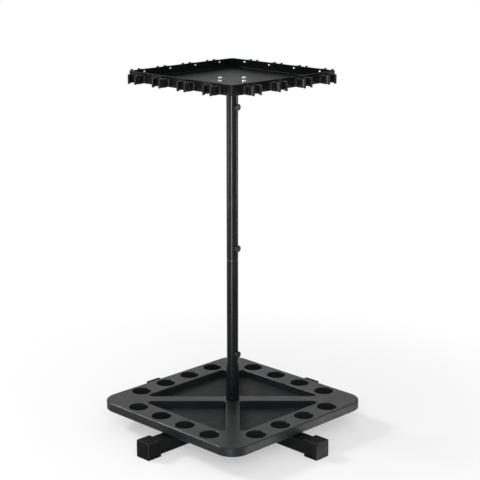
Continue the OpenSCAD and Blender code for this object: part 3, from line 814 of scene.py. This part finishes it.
studio = {
    "floorSide": 14.0,
    "floorDrop": 0.0002,  # below the caps, so that no two faces share a plane
    "floorColour": "#d0d0d1",
    "nearGlow": 0.45,  # share of plain white in the floor beside the rack, for a light shadow
    "whiteFrom": 0.3,  # the floor pales from here to plain white, in metres from the post
    "whiteAt": 0.9,
    "worldStrength": 0.5,
    # each soft lamp's bearing, elevation and distance from a point on the post at aimHeight, with
    # its two sides in metres; one that isn't mirrored lights the rack but shows in no gloss
    "aimHeight": 0.1,
    "lamps": {
        "keyLamp": {"bearing": 208, "elevation": 38, "distance": 3.0, "sides": (0.7, 0.7),
                    "watts": 62, "mirrored": True},
        "frontLamp": {"bearing": -45, "elevation": 28, "distance": 3.2, "sides": (2.0, 1.2),
                      "watts": 95, "mirrored": False},
        "sideLamp": {"bearing": 18, "elevation": 20, "distance": 3.2, "sides": (1.4, 1.4),
                     "watts": 9, "mirrored": True},
        "topLamp": {"bearing": 110, "elevation": 85, "distance": 3.2, "sides": (2.4, 2.4),
                    "watts": 14, "mirrored": True},
    },
    "stripHeight": 0.001,
    "stripWatts": 4,  # for one square metre as bright as white
    # strips that lie on the floor and shine up, as middle, bearing, length, width and brightness,
    # where white is 1: the post mirrors the first four as one upright line and the next two as a
    # fainter line near each rim, as the clips' lips do; the board's corner mirrors the next, and
    # its right side the last
    "strips": [
        ((0.332, -0.588), -60.5, 0.35, 0.12, 10),
        ((0.677, -1.197), -60.5, 1.05, 0.3, 32),
        ((1.354, -2.393), -60.5, 1.7, 0.6, 44),
        ((2.511, -4.439), -60.5, 3.0, 1.1, 110),
        ((-2.678, -3.428), -128, 4.5, 0.52, 33),
        ((2.495, 3.563), 55, 4.5, 0.52, 25),
        ((0.25, -0.275), -53, 0.06, 0.02, 9),
        ((0.28, 0.09), 90, 0.42, 0.05, 4),
    ],
}


def makeFloor():
    material = bpy.data.materials.new("paleFloor")
    material.use_nodes = True
    tree = material.node_tree
    tree.nodes.remove(tree.nodes["Principled BSDF"])
    place = addNode(tree, "ShaderNodeTexCoord").outputs["Object"]
    away = addNode(tree, "ShaderNodeVectorMath", {0: place}, operation="LENGTH")
    fade = addNode(tree, "ShaderNodeMapRange", {
        "Value": away.outputs["Value"], "From Min": studio["whiteFrom"],
        "From Max": studio["whiteAt"], "To Min": studio["nearGlow"]},
        interpolation_type="SMOOTHSTEP")
    matt = addNode(tree, "ShaderNodeBsdfDiffuse", {"Color": linearRgb(studio["floorColour"])})
    white = addNode(tree, "ShaderNodeEmission", {"Strength": 1.0})
    blend = addNode(tree, "ShaderNodeMixShader", {
        0: fade.outputs["Result"], 1: matt.outputs[0], 2: white.outputs[0]})
    # nothing of the floor shows from below, so that the underside can be seen
    side = addNode(tree, "ShaderNodeNewGeometry")
    clear = addNode(tree, "ShaderNodeBsdfTransparent")
    above = addNode(tree, "ShaderNodeMixShader", {
        0: side.outputs["Backfacing"], 1: blend.outputs[0], 2: clear.outputs[0]})
    tree.links.new(above.outputs[0], tree.nodes["Material Output"].inputs["Surface"])
    mesh = bpy.data.meshes.new("floor")
    half = studio["floorSide"] / 2
    corners = [(-half, -half, 0), (half, -half, 0), (half, half, 0), (-half, half, 0)]
    mesh.from_pydata(corners, [], [(0, 1, 2, 3)])
    mesh.materials.append(material)
    floor = bpy.data.objects.new("floor", mesh)
    floor.location.z = -studio["floorDrop"]
    scene.collection.objects.link(floor)


def makeWorld():
    world = bpy.data.worlds.new("studio")
    scene.world = world
    world.use_nodes = True
    tree = world.node_tree
    background = tree.nodes["Background"]
    background.inputs["Color"].default_value = (1, 1, 1, 1)
    rays = addNode(tree, "ShaderNodeLightPath")
    # plain white wherever it is seen, and weaker where it lights the rack
    seen = addNode(tree, "ShaderNodeMath", {
        0: rays.outputs["Is Camera Ray"], 1: rays.outputs["Is Glossy Ray"]}, operation="ADD")
    seen = addNode(tree, "ShaderNodeMath", {
        0: seen.outputs[0], 1: rays.outputs["Is Transmission Ray"]},
        operation="ADD", use_clamp=True)
    strength = addNode(tree, "ShaderNodeMapRange", {
        "Value": seen.outputs[0], "To Min": studio["worldStrength"], "To Max": 1.0})
    tree.links.new(strength.outputs["Result"], background.inputs["Strength"])


def makeLamps():
    for name, lamp in studio["lamps"].items():
        light = bpy.data.lights.new(name, "AREA")
        light.energy = lamp["watts"]
        light.shape = "RECTANGLE"
        light.size, light.size_y = lamp["sides"]
        holder = bpy.data.objects.new(name, light)
        bearing, elevation = radians(lamp["bearing"]), radians(lamp["elevation"])
        level = cos(elevation)
        arm = Vector((level * cos(bearing), level * sin(bearing), sin(elevation)))
        holder.location = arm * lamp["distance"] + Vector((0, 0, studio["aimHeight"]))
        holder.rotation_euler = (-arm).to_track_quat("-Z", "Y").to_euler()
        holder.visible_camera = False
        holder.visible_glossy = lamp["mirrored"]
        scene.collection.objects.link(holder)
    for middle, bearing, length, width, brightness in studio["strips"]:
        light = bpy.data.lights.new("stripLamp", "AREA")
        light.shape = "RECTANGLE"
        light.size, light.size_y = length, width
        light.energy = studio["stripWatts"] * brightness * length * width
        holder = bpy.data.objects.new("stripLamp", light)
        spot = Matrix.Translation((*middle, studio["stripHeight"]))
        holder.matrix_world = spot @ spun(bearing, "Z") @ spun(180, "X")
        holder.visible_camera = False
        scene.collection.objects.link(holder)


camera = {
    "azimuth": -44.9468,  # degrees round the post, from the X axis
    "distance": 2.74094,  # level distance from the post, in metres
    "height": 1.11382,
    "pitch": 14.48855,  # degrees below level
    "yaw": -0.3259,  # degrees off the post
    "focalPixels": 1378.27,  # focal length, as many pixels of the frame below
    "framePixels": 480,
    "sensorWidth": 36,  # in millimetres
    "clipEnd": 50,
}


def makeCamera():
    lens = bpy.data.cameras.new("camera")
    lens.sensor_width = camera["sensorWidth"]
    lens.lens = camera["focalPixels"] * camera["sensorWidth"] / camera["framePixels"]
    lens.clip_end = camera["clipEnd"]
    holder = bpy.data.objects.new("camera", lens)
    bearing = radians(camera["azimuth"])
    heading = bearing + pi + radians(camera["yaw"])
    pitch = radians(camera["pitch"])
    ahead = Vector((cos(heading) * cos(pitch), sin(heading) * cos(pitch), -sin(pitch)))
    across = Vector((sin(heading), -cos(heading), 0))
    up = across.cross(ahead)
    turn = Matrix((across, up, -ahead)).transposed()
    distance = camera["distance"]
    spot = Vector((distance * cos(bearing), distance * sin(bearing), camera["height"]))
    holder.matrix_world = Matrix.Translation(spot) @ turn.to_4x4()
    scene.collection.objects.link(holder)
    scene.camera = holder


makeFloor()
makeWorld()
makeLamps()
makeCamera()
print("studio and camera set")
